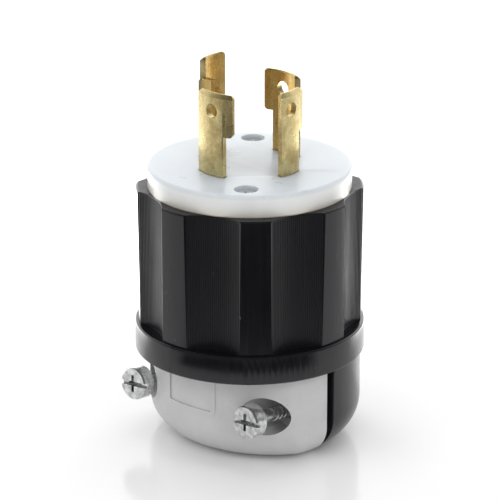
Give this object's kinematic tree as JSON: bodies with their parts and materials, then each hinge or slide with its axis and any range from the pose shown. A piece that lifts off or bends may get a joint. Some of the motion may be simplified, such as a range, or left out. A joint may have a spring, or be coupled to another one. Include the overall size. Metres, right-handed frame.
{
  "type": "locking power plug",
  "caption": "Round locking power plug: curved brass blades on a white face, fluted black grip, and a screw-closed cord clamp at the base.",
  "frame": {"origin": "on the plug's axis, in the plane of the cord clamp's base, on which the plug stands", "axes": "+Z along the plug's axis from the cord end to the blades; -Y the way the loose clamp half slides, with the clamp screws' heads; +X the screws' right-hand side seen from their heads"},
  "size_m": [0.0608, 0.0608, 0.1021],
  "materials": {
    "white_nylon": "satin, slightly translucent",
    "black_nylon": "satin",
    "grey_nylon": "satin",
    "terminal_plastic": "matte",
    "brass": "rolled, lightly handled",
    "zinc_steel": "bright zinc plate",
    "green_steel": "green dyed",
    "soft_rubber": "matte"
  },
  "bodies": {
    "plug": {"face_body": "white_nylon", "blade_x": "brass", "blade_y": "brass", "blade_neutral": "brass", "blade_ground": "brass", "terminal_block": "terminal_plastic", "terminal_screw_x": "brass", "terminal_screw_y": "brass", "terminal_screw_neutral": "zinc_steel", "terminal_screw_ground": "green_steel", "wire_plate_x": "zinc_steel", "wire_plate_y": "zinc_steel", "wire_plate_neutral": "zinc_steel", "wire_plate_ground": "zinc_steel", "assembly_screw_front": "zinc_steel", "assembly_screw_rear": "zinc_steel", "grip_housing": "black_nylon", "rear_clamp_half": "black_nylon", "clamp_screw_left": "zinc_steel", "clamp_screw_right": "zinc_steel", "dust_shield": "soft_rubber"},
    "loose_clamp": {"front_clamp_half": "grey_nylon"}
  },
  "joints": [
    {"name": "clamp_slide", "type": "slide", "parent": "plug", "child": "loose_clamp", "axis": [0, -1, 0], "range_m": [0, 0.006]}
  ]
}
